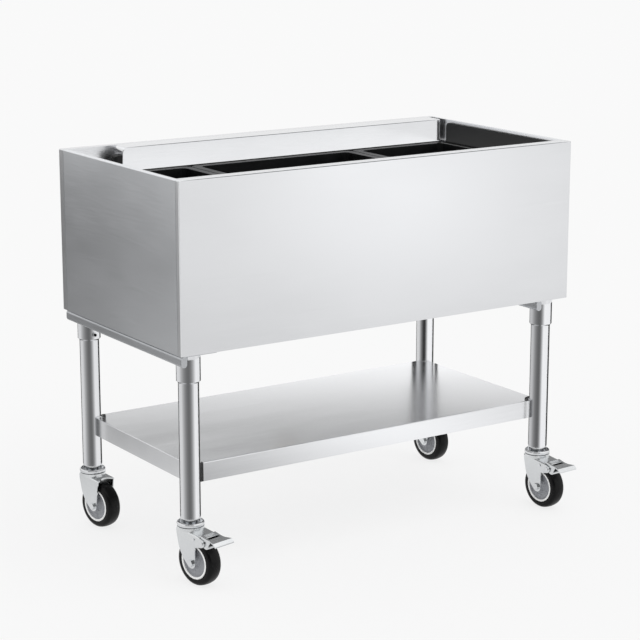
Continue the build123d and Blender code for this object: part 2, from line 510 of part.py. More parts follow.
for corner, (leg_x, leg_y) in LEGS.items():
    braked = corner.startswith("front")
    turn = radians(CASTOR_TURN[corner])
    axle_way, back_way = (cos(turn), sin(turn), 0), (-sin(turn), cos(turn), 0)
    straight = Plane((leg_x, leg_y, 0))
    turned = Plane((leg_x, leg_y, 0), x_dir=axle_way, z_dir=(0, 0, 1))
    cheek = Plane((leg_x, leg_y, 0), x_dir=back_way, z_dir=axle_way)
    wheel_centre = turned.from_local_coords((0, -TRAIL, TYRE_R))
    wheel_section = Plane(wheel_centre, x_dir=axle_way, z_dir=(sin(turn), -cos(turn), 0))
    axle_plane = Plane(wheel_centre, x_dir=back_way, z_dir=axle_way)
    axle_line = Axis(wheel_centre, axle_way)
    across = (0, 90, 0)

    # Leg plug: fills the tube's end and carries the castor, with a neck that shows under the leg
    with BuildPart(straight) as leg_plug:
        with Locations((0, 0, LEG_BOTTOM)):
            Cylinder(PLUG_R, PLUG_HEIGHT, align=UP)
        with Locations((0, 0, HEAD_TOP)):
            Cylinder(NECK_R, LEG_BOTTOM - HEAD_TOP, align=UP)
            Cylinder(KING_R + RUNNING, 2 * PLUG_HEIGHT, align=UP, mode=Mode.SUBTRACT)
    leg_plug.part.label = f"{corner}_leg_plug"
    export_step(leg_plug.part, f"parts/{corner}_leg_plug.step")

    # Swivel head: the upper race, grooved round the leg's neck, with the king bolt through it
    with BuildPart(straight) as swivel_head:
        with Locations((0, 0, HEAD_BOTTOM)):
            Cylinder(HEAD_R, HEAD_TOP - HEAD_BOTTOM, align=UP)
        fillet(swivel_head.edges(), HEAD_ROUND)
        with BuildSketch(straight.offset(HEAD_TOP)):
            Circle(HEAD_LIP_R)
            Circle(NECK_R, mode=Mode.SUBTRACT)
        extrude(amount=-HEAD_GROOVE, mode=Mode.SUBTRACT)
        king_foot = KING_HEAD_TOP - KING_HEAD
        with Locations((0, 0, king_foot)):
            Cylinder(KING_HEAD_R, KING_HEAD, align=UP)
            Cylinder(KING_R, KING_TOP - king_foot, align=UP)
    swivel_head.part.label = f"{corner}_swivel_head"
    export_step(swivel_head.part, f"parts/{corner}_swivel_head.step")

    # Fork: a bent plate with two cheeks and a crown that slopes to the front, and the lower race on top
    with BuildPart(turned) as fork:
        with BuildSketch(cheek.offset(-FORK_HALF)):
            with BuildLine():
                Polyline(*CHEEK_REAR)
                ThreePointArc(CHEEK_REAR[-1], CHEEK_REAR_BEND, BOSS_REAR)
                ThreePointArc(BOSS_REAR, BOSS_LOW, BOSS_FRONT)
                if braked:
                    Polyline(BOSS_FRONT, HORN_ROOT, HORN_LOW)
                    ThreePointArc(HORN_LOW, HORN_TIP, HORN_HIGH)
                    Polyline(HORN_HIGH, CROWN_NOSE, CROWN_REAR)
                else:
                    Polyline(BOSS_FRONT, CROWN_NOSE, CROWN_REAR)
            make_face()
        extrude(amount=2 * FORK_HALF)
        fillet(fork.faces().sort_by(Axis.Z)[-1].edges().sort_by(SortBy.LENGTH)[-2:], FORK_PLATE)
        inside = (FORK_PLATE - FORK_HALF, FORK_HALF - FORK_PLATE)
        with BuildSketch(cheek.offset(inside[0])):
            inside_top = [(y, crown_height(y) - FORK_PLATE) for y in (INSIDE_REACH, -INSIDE_REACH)]
            Polygon((-INSIDE_REACH, 0), (INSIDE_REACH, 0), *inside_top, align=None)
        extrude(amount=inside[1] - inside[0], mode=Mode.SUBTRACT)
        block(inside, (-INSIDE_REACH, CROWN_NOSE[0]), (0, 2 * CROWN_TOP), Mode.SUBTRACT)
        crown_way = Vector(*back_way) + Vector(0, 0, CROWN_SLOPE)
        crown_middle = turned.from_local_coords((0, 0, CROWN_TOP - FORK_PLATE / 2))
        with BuildSketch(Plane(crown_middle, x_dir=axle_way, z_dir=Vector(*axle_way).cross(crown_way))):
            Ellipse(RACE_R, RACE_R * crown_way.length)
        extrude(amount=CROWN_TOP, dir=(0, 0, 1))
        around = (-INSIDE_REACH, INSIDE_REACH)
        block(around, around, (HEAD_BOTTOM - STANDING_GAP, 3 * CROWN_TOP), Mode.SUBTRACT)
        with Locations((0, 0, CROWN_TOP)):
            Cylinder(KING_R + RUNNING, CROWN_TOP, mode=Mode.SUBTRACT)
        with Locations((0, *AXLE_POINT)):
            Cylinder(AXLE_R + RUNNING, 4 * FORK_HALF, rotation=across, mode=Mode.SUBTRACT)
        if braked:
            with Locations((0, *HORN_PIN)):
                Cylinder(PIN_R + RUNNING, 4 * FORK_HALF, rotation=across, mode=Mode.SUBTRACT)
            with Locations((0, *RIVET)):
                Cylinder(RIVET_R + RUNNING, 4 * FORK_HALF, rotation=across, mode=Mode.SUBTRACT)
        else:
            with Locations((0, CROWN_NOSE[0] - FORK_HALF / 2, CROWN_NOSE[1])):
                Cylinder(FORK_HALF - FORK_PLATE, 4 * FORK_PLATE, mode=Mode.SUBTRACT)
    fork.part.label = f"{corner}_fork"
    export_step(fork.part, f"parts/{corner}_fork.step")

    # Axle: bolt, nut and the bush that the wheel turns on, as separate solids
    with BuildPart() as axle:
        with BuildSketch(axle_plane.offset(FORK_HALF)):
            RegularPolygon(AXLE_FLATS / 2, 6, major_radius=False)
            Circle(AXLE_R + RUNNING, mode=Mode.SUBTRACT)
        extrude(amount=AXLE_NUT)
        with BuildSketch(axle_plane.offset(-FORK_HALF - AXLE_HEAD)):
            RegularPolygon(AXLE_FLATS / 2, 6, major_radius=False)
        extrude(amount=AXLE_HEAD)
        with BuildSketch(axle_plane.offset(-FORK_HALF)):
            Circle(AXLE_R)
        extrude(amount=2 * FORK_HALF + AXLE_END)
        bush_half = FORK_HALF - FORK_PLATE
        with BuildSketch(axle_plane.offset(-bush_half)):
            Circle(BUSH_R)
            Circle(AXLE_R + RUNNING, mode=Mode.SUBTRACT)
        extrude(amount=2 * bush_half)
    axle.part.label = f"{corner}_axle"
    export_step(axle.part, f"parts/{corner}_axle.step")

    # Wheel core: a dished plastic disc with a hub that turns on the bush
    with BuildPart() as wheel_core:
        with BuildSketch(wheel_section):
            with BuildLine():
                half = Polyline(
                    (0, BUSH_R + RUNNING),
                    (HUB_HALF, BUSH_R + RUNNING),
                    (HUB_HALF, HUB_R),
                    (CORE_HALF, HUB_R + 2),
                    (WEB_HALF, HUB_R + 4),
                    (WEB_HALF, CORE_R - 5),
                    (CORE_HALF, CORE_R - 3),
                    (CORE_HALF, CORE_R),
                    (0, CORE_R),
                )
                mirror(half, about=Plane.YZ)
            make_face()
        revolve(axis=axle_line)
    wheel_core.part.label = f"{corner}_wheel_core"
    export_step(wheel_core.part, f"parts/{corner}_wheel_core.step")

    # Tyre: thick rubber with a crowned tread and rounded shoulders
    with BuildPart() as tyre:
        with BuildSketch(wheel_section):
            with BuildLine():
                Polyline((0, CORE_R), (CORE_HALF, CORE_R), (TYRE_HALF, CORE_R + 2), (TYRE_HALF, SHOULDER_R))
                TangentArc((TYRE_HALF, SHOULDER_R), (TREAD_HALF, TREAD_EDGE_R), tangent=(0, 1))
                TangentArc((0, TYRE_R), (TREAD_HALF, TREAD_EDGE_R), tangent=(1, 0))
                mirror(about=Plane.YZ)
            make_face()
        revolve(axis=axle_line)
    tyre.part.label = f"{corner}_tyre"
    export_step(tyre.part, f"parts/{corner}_tyre.step")

    if not braked:
        continue

    # Brake pedal: a slotted bent plate with two ears on the horn pin, flared to a steep lip, and a shoe over
    # the tyre
    with BuildPart(turned) as brake_pedal:
        under = [(y, z - PEDAL_SHEET) for y, z in reversed(PEDAL_TOP)]
        with BuildSketch(cheek.offset(-PEDAL_HALF)):
            Polygon(*PEDAL_TOP, *under, align=None)
        extrude(amount=2 * PEDAL_HALF)
        for ear_start in (-PEDAL_HALF, PEDAL_HALF - PEDAL_SHEET):
            with BuildSketch(cheek.offset(ear_start)):
                Polygon(*PEDAL_EAR, align=None)
            extrude(amount=PEDAL_SHEET)
        with BuildSketch(cheek.offset(-PEDAL_LIP_HALF)):
            lip_top = PEDAL_TOP[3:]
            Polygon(*lip_top, *[(y, z - PEDAL_SHEET) for y, z in reversed(lip_top)], align=None)
        extrude(amount=2 * PEDAL_LIP_HALF)
        for edge in (-1, 1):
            with BuildSketch(turned.offset(SHOE_Z[1])):
                flare = [(edge * PEDAL_HALF, PEDAL_FLARE_Y[0]), (edge * PEDAL_LIP_HALF, PEDAL_FLARE_Y[1])]
                beyond = 2 * flare[1][0]
                Polygon(*flare, (beyond, PEDAL_FLARE_Y[1]), (beyond, 0), (flare[0][0], 0), align=None)
            extrude(amount=CROWN_TOP, mode=Mode.SUBTRACT)
        block(PEDAL_SLOT_X, PEDAL_SLOT_Y, (SHOE_Z[1], CROWN_TOP), Mode.SUBTRACT)
        block((-PEDAL_HALF, PEDAL_HALF), SHOE_Y, SHOE_Z)
        with Locations((0, *HORN_PIN)):
            Cylinder(PIN_R + RUNNING, 4 * FORK_HALF, rotation=across, mode=Mode.SUBTRACT)
    brake_pedal.part.label = f"{corner}_brake_pedal"
    export_step(brake_pedal.part, f"parts/{corner}_brake_pedal.step")

    # Brake pins: the pedal's pivot, headed outside both cheeks, and a short rivet in each cheek
    with BuildPart(turned) as brake_pins:
        with Locations((0, *HORN_PIN)):
            Cylinder(PIN_R, 2 * FORK_HALF, rotation=across)
        for end in (-1, 1):
            with Locations((end * (FORK_HALF + PIN_HEAD / 2), *HORN_PIN)):
                Cylinder(PIN_R + PIN_HEAD, PIN_HEAD, rotation=across)
            with Locations((end * (FORK_HALF + PIN_HEAD / 2), *RIVET)):
                Cylinder(RIVET_R + PIN_HEAD, PIN_HEAD, rotation=across)
            with Locations((end * (FORK_HALF - FORK_PLATE / 2), *RIVET)):
                Cylinder(RIVET_R, FORK_PLATE, rotation=across)
    brake_pins.part.label = f"{corner}_brake_pins"
    export_step(brake_pins.part, f"parts/{corner}_brake_pins.step")
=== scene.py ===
import json
from math import cos, pi, radians, sin

import bmesh
import bpy
import numpy as np
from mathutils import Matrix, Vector


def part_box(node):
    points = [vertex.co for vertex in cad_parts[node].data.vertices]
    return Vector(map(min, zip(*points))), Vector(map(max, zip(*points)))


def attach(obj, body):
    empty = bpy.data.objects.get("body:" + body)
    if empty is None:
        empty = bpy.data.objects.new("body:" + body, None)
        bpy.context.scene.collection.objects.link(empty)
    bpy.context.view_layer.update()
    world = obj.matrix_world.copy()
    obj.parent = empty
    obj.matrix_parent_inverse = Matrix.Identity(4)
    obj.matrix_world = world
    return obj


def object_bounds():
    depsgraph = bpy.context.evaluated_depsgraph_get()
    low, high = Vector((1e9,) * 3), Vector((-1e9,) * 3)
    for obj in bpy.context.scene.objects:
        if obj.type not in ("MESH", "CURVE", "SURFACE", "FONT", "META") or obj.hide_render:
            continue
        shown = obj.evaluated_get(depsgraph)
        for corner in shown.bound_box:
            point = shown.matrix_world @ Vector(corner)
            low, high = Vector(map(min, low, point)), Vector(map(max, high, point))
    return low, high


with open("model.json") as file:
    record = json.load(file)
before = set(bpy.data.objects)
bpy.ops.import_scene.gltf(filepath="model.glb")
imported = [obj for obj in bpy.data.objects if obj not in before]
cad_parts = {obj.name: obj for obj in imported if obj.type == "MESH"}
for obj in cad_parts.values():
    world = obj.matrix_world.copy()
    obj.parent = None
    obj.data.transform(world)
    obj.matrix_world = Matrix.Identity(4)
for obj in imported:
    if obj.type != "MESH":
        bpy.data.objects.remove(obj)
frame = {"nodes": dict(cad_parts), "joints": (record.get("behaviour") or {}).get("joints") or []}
cad_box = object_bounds()

MM = 0.001
UP = np.array([0.0, 0.0, 1.0])
SIDES = {"left": -1, "right": 1}
CORNERS = ("front_left", "front_right", "rear_left", "rear_right")
BRAKED = ("front_left", "front_right")
JOINTS = {joint["name"]: joint for joint in frame["joints"]}
# Where the middle line of each leg meets the floor
FEET = {corner: np.array(JOINTS[f"{corner}_swivel"]["pos_m"]) * (1, 1, 0) for corner in CORNERS}


def linear(hex_colour):
    """An sRGB hex colour as linear RGBA.

    Each channel follows the sRGB standard: a power curve, with a straight foot near black.
    """
    channels = np.array([int(hex_colour[i:i + 2], 16) / 255 for i in (1, 3, 5)])
    curved = np.where(channels <= 0.04045, channels / 12.92, ((channels + 0.055) / 1.055) ** 2.4)
    return (*curved.tolist(), 1.0)


def add(tree, kind, inputs=None, **settings):
    """Adds one node with its settings. Each input is a value, or a socket to link from."""
    node = tree.nodes.new(kind)
    for key, value in settings.items():
        setattr(node, key, value)
    for key, value in (inputs or {}).items():
        if isinstance(value, bpy.types.NodeSocket):
            tree.links.new(value, node.inputs[key])
        else:
            node.inputs[key].default_value = value
    return node


def empty_material(name):
    """A material without nodes, and its tree."""
    material = bpy.data.materials.new(name)
    material.use_nodes = True
    material.node_tree.nodes.clear()
    return material, material.node_tree


GRAIN_DETAIL, CLOUD_DETAIL, NOISE_ROUGHNESS = 3.0, 2.0, 0.55
# The sum of two noises stays near 1, and these limits spread it over the whole finish
SUM_LOW, SUM_HIGH = 0.75, 1.25


def finish(name, grain_mm, cloud_mm, colours, roughness, dent_mm, **sockets):
    """A finish made of a fine grain and of broad clouds, with further shader values in sockets.

    Both are noise, whose features measure grain_mm and cloud_mm along x, y and z. Their sum runs
    the colour from the first hex colour to the second and the roughness between its two values,
    and the grain alone dents the surface, dent_mm deep.
    """
    material, tree = empty_material(name)
    place = add(tree, "ShaderNodeTexCoord").outputs["Object"]
    noises = []
    for size_mm, detail in ((grain_mm, GRAIN_DETAIL), (cloud_mm, CLOUD_DETAIL)):
        scale = [1 / (size * MM) for size in size_mm]
        mapped = add(tree, "ShaderNodeMapping", {"Vector": place, "Scale": scale}).outputs[0]
        noise = {"Vector": mapped, "Scale": 1.0, "Detail": detail, "Roughness": NOISE_ROUGHNESS}
        noises.append(add(tree, "ShaderNodeTexNoise", noise).outputs["Fac"])
    both = add(tree, "ShaderNodeMath", dict(enumerate(noises)), operation="ADD").outputs[0]
    limits = {"Value": both, "From Min": SUM_LOW, "From Max": SUM_HIGH}
    share = add(tree, "ShaderNodeMapRange", limits).outputs["Result"]
    colour = {"Factor": share, "A": linear(colours[0]), "B": linear(colours[1])}
    rough = {"Value": share, "To Min": roughness[0], "To Max": roughness[1]}
    dent = {"Height": noises[0], "Distance": dent_mm * MM}
    shader = {
        "Base Color": add(tree, "ShaderNodeMix", colour, data_type="RGBA").outputs["Result"],
        "Roughness": add(tree, "ShaderNodeMapRange", rough).outputs["Result"],
        "Normal": add(tree, "ShaderNodeBump", dent).outputs["Normal"],
    }
    shader.update({key.replace("_", " "): value for key, value in sockets.items()})
    surface = add(tree, "ShaderNodeBsdfPrincipled", shader).outputs[0]
    add(tree, "ShaderNodeOutputMaterial", {"Surface": surface})
    return material


# Stainless sheet, belt-brushed along its length: long fine scratches blur what it reflects and
# give a silky grey. Real scratches are 0.1 to 0.2 mm apart and are drawn 0.8 mm apart, so that
# they show.
PANEL_X = finish("brushed_stainless_lengthways", (90, 0.8, 0.8), (300, 120, 120),
                 ("#d9dadc", "#dedfe1"), (0.18, 0.24), 0.003, Metallic=1.0)
PANEL_Y = finish("brushed_stainless_sideways", (0.8, 90, 0.8), (120, 300, 120),
                 ("#dcdee1", "#e1e3e6"), (0.20, 0.26), 0.003, Metallic=1.0)
# The shelf is brushed with longer strokes, so the legs show in it as soft streaks
SHELF = finish("brushed_stainless_shelf", (160, 1.2, 1.2), (400, 90, 90),
               ("#dddee0", "#e5e6e8"), (0.19, 0.25), 0.002, Metallic=1.0)
# The ledge is the same sheet with a brighter mill finish, so its edges and bends draw crisp lines
LEDGE = finish("mill_finish_stainless", (60, 1.0, 1.0), (150, 80, 80),
               ("#dcdddf", "#e3e4e6"), (0.15, 0.2), 0.002, Metallic=1.0)
# The inside of the well is duller, so what stands in it shows only as soft patches
WELL = finish("pressed_stainless_liner", (60, 1.0, 1.0), (150, 80, 80),
              ("#d6d7d9", "#dfe0e2"), (0.26, 0.33), 0.002, Metallic=1.0)
# The rails under the bin are plain rolled sheet, duller than the panels; their darker grey is
# painted shade, for the shade under the bin
SHADED_RAIL = finish("rolled_stainless_rail_painted_shade", (0.8, 90, 0.8), (60, 200, 60),
              ("#b4b6b9", "#bfc1c4"), (0.30, 0.37), 0.003, Metallic=1.0)
# Drawn and polished tube: nearly a mirror, with faint lines along it from the polishing
TUBE = finish("polished_stainless_tube", (0.8, 0.8, 120), (60, 60, 200),
              ("#dddee1", "#e4e5e7"), (0.17, 0.22), 0.0008, Metallic=1.0)
# Pressed steel with bright zinc plating: a soft mirror with a faintly cloudy bloom
ZINC = finish("bright_zinc_plate", (2.5, 2.5, 2.5), (40, 40, 40),
              ("#dfe1e3", "#e3e5e6"), (0.20, 0.25), 0.0005, Metallic=1.0)
# Blackened set screws: dark, with a dull metal shine
SCREW = finish("black_oxide_steel", (1.0, 1.0, 1.0), (8, 8, 8),
               ("#1c1d1f", "#26272a"), (0.32, 0.42), 0.002, Metallic=1.0)
# Turned races, pins and rivets with bright zinc plating on a finer surface: small sharp highlights
RACE = finish("turned_zinc_plate", (4.0, 4.0, 0.6), (12, 12, 12),
              ("#dddfe1", "#e6e7e9"), (0.1, 0.16), 0.0005, Metallic=1.0)
# Nickel on cast brass: a warm grey mirror over slight casting waves
DRAIN = finish("nickel_plated_brass", (3.0, 3.0, 3.0), (15, 15, 15),
               ("#c9c5bb", "#d9d5cc"), (0.16, 0.24), 0.004, Metallic=1.0)
# Powder-coated lever: satin grey with a fine orange peel
LEVER = finish("powder_coated_steel", (1.5, 1.5, 1.5), (20, 20, 20),
               ("#a4a6a9", "#adafb2"), (0.35, 0.45), 0.02, IOR=1.5)
# Moulded polypropylene: black, with a fine spark-eroded skin that spreads highlights
TUB = finish("black_polypropylene", (0.8, 0.8, 0.8), (40, 40, 40),
             ("#090a0b", "#0f1011"), (0.34, 0.42), 0.006, IOR=1.49, Specular_IOR_Level=0.22)
# Tyre rubber: near black, with a dull soft sheen and a slightly uneven skin
TYRE = finish("black_tyre_rubber", (1.2, 1.2, 1.2), (25, 25, 25),
              ("#050506", "#0a0a0b"), (0.27, 0.36), 0.005, IOR=1.52, Specular_IOR_Level=0.17)
# Moulded bumper rubber: duller than the tyres
BUMPER = finish("black_bumper_rubber", (1.0, 1.0, 1.0), (15, 15, 15),
                ("#0a0a0b", "#111213"), (0.45, 0.55), 0.006, IOR=1.52, Specular_IOR_Level=0.22)
# Moulded nylon: an even mid grey with a satin skin
CORE = finish("grey_nylon", (0.8, 0.8, 0.8), (12, 12, 12),
              ("#919398", "#9d9fa3"), (0.4, 0.5), 0.005, IOR=1.53)
# Moulded rim bead: bright white plastic
BEAD = finish("white_nylon", (0.8, 0.8, 0.8), (12, 12, 12),
              ("#f8f8f7", "#fcfcfb"), (0.35, 0.45), 0.003, IOR=1.53)
# Dipped vinyl: soft black with a smooth shine
GRIP = finish("dipped_vinyl", (2.0, 2.0, 2.0), (12, 12, 12),
              ("#0e0f10", "#161718"), (0.35, 0.45), 0.01, IOR=1.53)
# Sealant in the seams: a matt grey line. The same grey also paints the shadow in the groove over
# the left rail's lip.
SEALANT_AND_GROOVE_SHADOW = finish("grey_silicone_and_groove_shadow", (1.0, 1.0, 1.0), (10, 10, 10),
                 ("#6a6d70", "#777a7d"), (0.6, 0.7), 0.01, IOR=1.41)
# Painted shade: a dull dark grey stainless finish for the thin shadow line under the top of the
# front rim and the ledge
PAINTED_SHADE_LINE = finish("painted_shade_line_stainless", (30, 1.0, 1.0), (80, 40, 40),
              ("#6f7174", "#7d7f82"), (0.42, 0.5), 0.003, Metallic=1.0)
# Poured polyurethane foam: straw yellow. Its cells are half a millimetre and are drawn 2 mm wide.
FOAM = finish("poured_foam", (2.0, 2.0, 2.0), (30, 30, 30),
              ("#c9b878", "#e6d9a6"), (0.85, 0.95), 0.4, IOR=1.45)

FINISHES = {
    "front_panel": PANEL_X, "back_panel": PANEL_X, "base_pan": PANEL_X,
    "left_side_panel": PANEL_Y, "right_side_panel": PANEL_Y,
    "left_leg_rail": SHADED_RAIL, "right_leg_rail": SHADED_RAIL, "rear_ledge": LEDGE, "well_liner": WELL,
    "undershelf": SHELF, "shelf_stiffener": SHELF, "false_bottom": SHELF, "insulation": FOAM,
    "left_bottle_bin": TUB, "right_bottle_bin": TUB, "ice_tub": TUB, "ledge_bumper": BUMPER,
    "drain_fitting": DRAIN, "drain_nut": DRAIN, "drain_valve_body": DRAIN,
    "drain_valve_ball": DRAIN, "drain_valve_lever": LEVER, "set_screws": SCREW,
}
CORNER_FINISHES = {
    "leg": TUBE, "leg_socket": TUBE, "leg_plug": ZINC, "swivel_head": RACE, "fork": ZINC,
    "axle": ZINC, "wheel_core": CORE, "tyre": TYRE, "brake_pedal": ZINC, "brake_pins": RACE,
}
for corner in CORNERS:
    FINISHES.update({f"{corner}_{part}": material for part, material in CORNER_FINISHES.items()})
for name, node in frame["nodes"].items():
    node.data.materials.clear()
    node.data.materials.append(FINISHES[name])


def grid_object(name, points, closed_rows, closed_columns, material):
    """An object over a grid of points, one quad a cell.

    A closed way also joins its last line to its first.
    """
    rows, columns = points.shape[:2]
    i = np.arange(rows if closed_rows else rows - 1)[:, None]
    j = np.arange(columns if closed_columns else columns - 1)[None, :]
    down, right = (i + 1) % rows, (j + 1) % columns
    corners = [i * columns + j, i * columns + right, down * columns + right, down * columns + j]
    quads = np.stack(np.broadcast_arrays(*corners), axis=-1).reshape(-1, 4)
    mesh = bpy.data.meshes.new(name)
    mesh.from_pydata(points.reshape(-1, 3).tolist(), [], quads.tolist())
    mesh.materials.append(material)
    made = bpy.data.objects.new(name, mesh)
    bpy.context.scene.collection.objects.link(made)
    return made


MERGE_DISTANCE = 1e-7


def piece(name, points, closed_rows, closed_columns, material, body):
    """A smooth skin over a grid of points, which rides on a body.

    Points that fall together are merged, so a line that shrinks to one point closes the skin
    there, and the faces are turned outwards.
    """
    made = grid_object(name, points, closed_rows, closed_columns, material)
    skin = bmesh.new()
    skin.from_mesh(made.data)
    bmesh.ops.remove_doubles(skin, verts=skin.verts, dist=MERGE_DISTANCE)
    bmesh.ops.recalc_face_normals(skin, faces=skin.faces)
    skin.to_mesh(made.data)
    skin.free()
    made.data.polygons.foreach_set("use_smooth", np.ones(len(made.data.polygons), bool))
    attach(made, body)


# For each kind of shape, the steps along it and round its section, and the power in the formula
# for its ends
RING_STEPS, RING_SECTION, RING_POWER = 96, 16, 8
BAR_STEPS, BAR_SECTION, BAR_POWER = 25, 9, 6
SLEEVE_STEPS, SLEEVE_SECTION, SLEEVE_POWER = 41, 32, 12
WHOLE_TURN = 360
# An axis whose z reaches this counts as upright
UPRIGHT_Z = 0.5


def ring(centre, axis, along, radius, half_width, half_height, ripple=0.0, ripples=0,
         steps=RING_STEPS, arc=(0, WHOLE_TURN)):
    """An oval section carried round an axis.

    A point is centre + (along + k * half_width * cos v) * axis
    + (radius + k * half_height * sin v) * circle(u), where k is 1 + ripple * cos(ripples * u). On
    an arc that isn't a whole turn, k is also multiplied by the square root of 1 - w to the eighth
    power, where w runs from -1 to 1, so the ends shrink to a point.
    """
    axis = np.array(axis, float)
    level = np.array([axis[1], -axis[0], 0.0])
    first = level if abs(axis[2]) < UPRIGHT_Z else np.array([1.0, 0.0, 0.0])
    first /= np.linalg.norm(first)
    second = np.cross(axis, first)
    whole = arc[1] - arc[0] == WHOLE_TURN
    u = np.radians(np.linspace(*arc, steps, endpoint=not whole))[:, None]
    v = np.linspace(0, 2 * pi, RING_SECTION, endpoint=False)[None, :]
    k = 1 + ripple * np.cos(ripples * u)
    if not whole:
        k = k * np.sqrt(1 - np.linspace(-1, 1, steps)[:, None] ** RING_POWER)
    outwards = np.cos(u)[..., None] * first + np.sin(u)[..., None] * second
    reach = radius + half_height * k * np.sin(v)
    offset = along + half_width * k * np.cos(v)
    return np.array(centre) + offset[..., None] * axis + reach[..., None] * outwards


def bar(start, end, across, normal, half_width, height):
    """A half-round ridge from start to end, whose ends are rounded to a point.

    A point is start + s * (end - start) + k * (half_width * cos t * across
    + height * sin t * normal), where k is the square root of 1 - (2s - 1) to the sixth power, and
    t runs over half a turn.
    """
    s = np.linspace(0, 1, BAR_STEPS)[:, None]
    t = np.linspace(0, pi, BAR_SECTION)[None, :]
    k = np.sqrt(1 - (2 * s - 1) ** BAR_POWER)
    sideways = (half_width * k * np.cos(t))[..., None] * np.array(across)
    upwards = (height * k * np.sin(t))[..., None] * np.array(normal)
    middle = np.array(start) + s[..., None] * (np.array(end) - np.array(start))
    return middle + sideways + upwards


def sleeve(start, end, thickness, height):
    """A closed sleeve from start to end along x, whose section is an oval with flat sides.

    A point is start + s * (end - start) + k * (thickness * c(t) along y + height * d(t) along z),
    where c and d are the square roots of cos t and sin t with their signs kept, t runs over a
    whole turn, and k is the square root of 1 - (2s - 1) to the twelfth power, which closes the
    ends.
    """
    s = np.linspace(0, 1, SLEEVE_STEPS)[:, None]
    t = np.linspace(0, 2 * pi, SLEEVE_SECTION, endpoint=False)[None, :]
    k = np.sqrt(1 - (2 * s - 1) ** SLEEVE_POWER)
    wide = k * thickness * np.sign(np.cos(t)) * np.sqrt(np.abs(np.cos(t)))
    tall = k * height * np.sign(np.sin(t)) * np.sqrt(np.abs(np.sin(t)))
    along = np.broadcast_to(s * (end[0] - start[0]), wide.shape)
    return np.array(start) + np.stack([along, wide, tall], axis=-1)


# Wheels: a white bead where the tyre meets the core, a raised line round each side of the tyre,
# and a raised ring and ribs on each side of the core
BEAD_OFFSET, BEAD_R, BEAD_HALF, BEAD_HEIGHT = 15.2 * MM, 33.4 * MM, 1.7 * MM, 2.4 * MM
LINE_OFFSET, LINE_R, LINE_HALF, LINE_HEIGHT = 16.4 * MM, 36.9 * MM, 0.4 * MM, 0.5 * MM
WEB_OFFSET, WEB_R, WEB_HALF, WEB_HEIGHT = 11.5 * MM, 21.0 * MM, 0.7 * MM, 0.8 * MM
RIB_COUNT, RIB_START, RIB_END = 6, 15.0 * MM, 28.5 * MM
RIB_HALF, RIB_HEIGHT = 0.9 * MM, 0.8 * MM
WHEEL_RINGS = {
    "bead": (BEAD_OFFSET, BEAD_R, BEAD_HALF, BEAD_HEIGHT, BEAD, "wheel_plastic"),
    "tyre_line": (LINE_OFFSET, LINE_R, LINE_HALF, LINE_HEIGHT, TYRE, "tyre_rubber"),
    "core_ring": (WEB_OFFSET, WEB_R, WEB_HALF, WEB_HEIGHT, CORE, "wheel_plastic"),
}
for corner in CORNERS:
    roll = JOINTS[f"{corner}_roll"]
    wheel, axle = np.array(roll["pos_m"]), np.array(roll["axis"])
    body = f"{corner}_wheel"
    for side, sign in SIDES.items():
        for name, (offset, radius, half, height, material, slot) in WHEEL_RINGS.items():
            points = ring(wheel, axle, sign * offset, radius, half, height)
            piece(f"{corner}_{side}_{name}", points, True, True, material, body)
        web = wheel + sign * WEB_OFFSET * axle
        for count in range(RIB_COUNT):
            turn = 2 * pi * count / RIB_COUNT
            spoke = np.cos(turn) * UP + np.sin(turn) * np.cross(axle, UP)
            ends = (web + RIB_START * spoke, web + RIB_END * spoke)
            points = bar(*ends, np.cross(axle, spoke), sign * axle, RIB_HALF, RIB_HEIGHT)
            piece(f"{corner}_{side}_core_rib_{count + 1}", points, False, False, CORE,
                  body)

# Brake pedals: three low ribs across the rear of each plate, which falls away to the front
PLATE_START, PLATE_TOP, PLATE_FALL = 50 * MM, 111.5 * MM, 0.231
PEDAL_RIBS = (52.0 * MM, 54.6 * MM, 57.2 * MM)
PEDAL_RIB_LENGTH, PEDAL_RIB_HALF, PEDAL_RIB_HEIGHT = 27 * MM, 0.8 * MM, 0.8 * MM
for corner in BRAKED:
    axle = np.array(JOINTS[f"{corner}_brake"]["axis"])
    forwards = np.cross(axle, UP)
    plate_normal = (UP + PLATE_FALL * forwards) / np.hypot(1, PLATE_FALL)
    half = PEDAL_RIB_LENGTH / 2 * axle
    for count, reach in enumerate(PEDAL_RIBS, 1):
        rib_z = PLATE_TOP - PLATE_FALL * (reach - PLATE_START)
        middle = FEET[corner] + reach * forwards + rib_z * UP
        points = bar(middle - half, middle + half, forwards, plate_normal,
                     PEDAL_RIB_HALF, PEDAL_RIB_HEIGHT)
        piece(f"{corner}_pedal_rib_{count}", points, False, False, ZINC,
              f"{corner}_pedal")

# Welds: a rippled bead round the top of each socket, and one in each notch of the shelf
SOCKET_WELD_Z, SOCKET_WELD_R, SOCKET_RIPPLES, SOCKET_STEPS = 472.6 * MM, 24.6 * MM, 60, 360
SHELF_WELD_Z, SHELF_WELD_R, SHELF_RIPPLES, SHELF_STEPS = 242 * MM, 21.0 * MM, 50, 120
WELD_HALF, WELD_RIPPLE = 1.5 * MM, 0.12
SHELF_ARCS = {"front_left": (4, 86), "front_right": (94, 176),
              "rear_right": (184, 266), "rear_left": (274, 356)}
for corner in CORNERS:
    points = ring(FEET[corner], UP, SOCKET_WELD_Z, SOCKET_WELD_R, WELD_HALF, WELD_HALF,
                  WELD_RIPPLE, SOCKET_RIPPLES, SOCKET_STEPS)
    piece(f"{corner}_socket_weld", points, True, True, TUBE, "cart")
    points = ring(FEET[corner], UP, SHELF_WELD_Z, SHELF_WELD_R, WELD_HALF, WELD_HALF,
                  WELD_RIPPLE, SHELF_RIPPLES, SHELF_STEPS, SHELF_ARCS[corner])
    piece(f"{corner}_shelf_weld", points, False, True, TUBE, "cart")

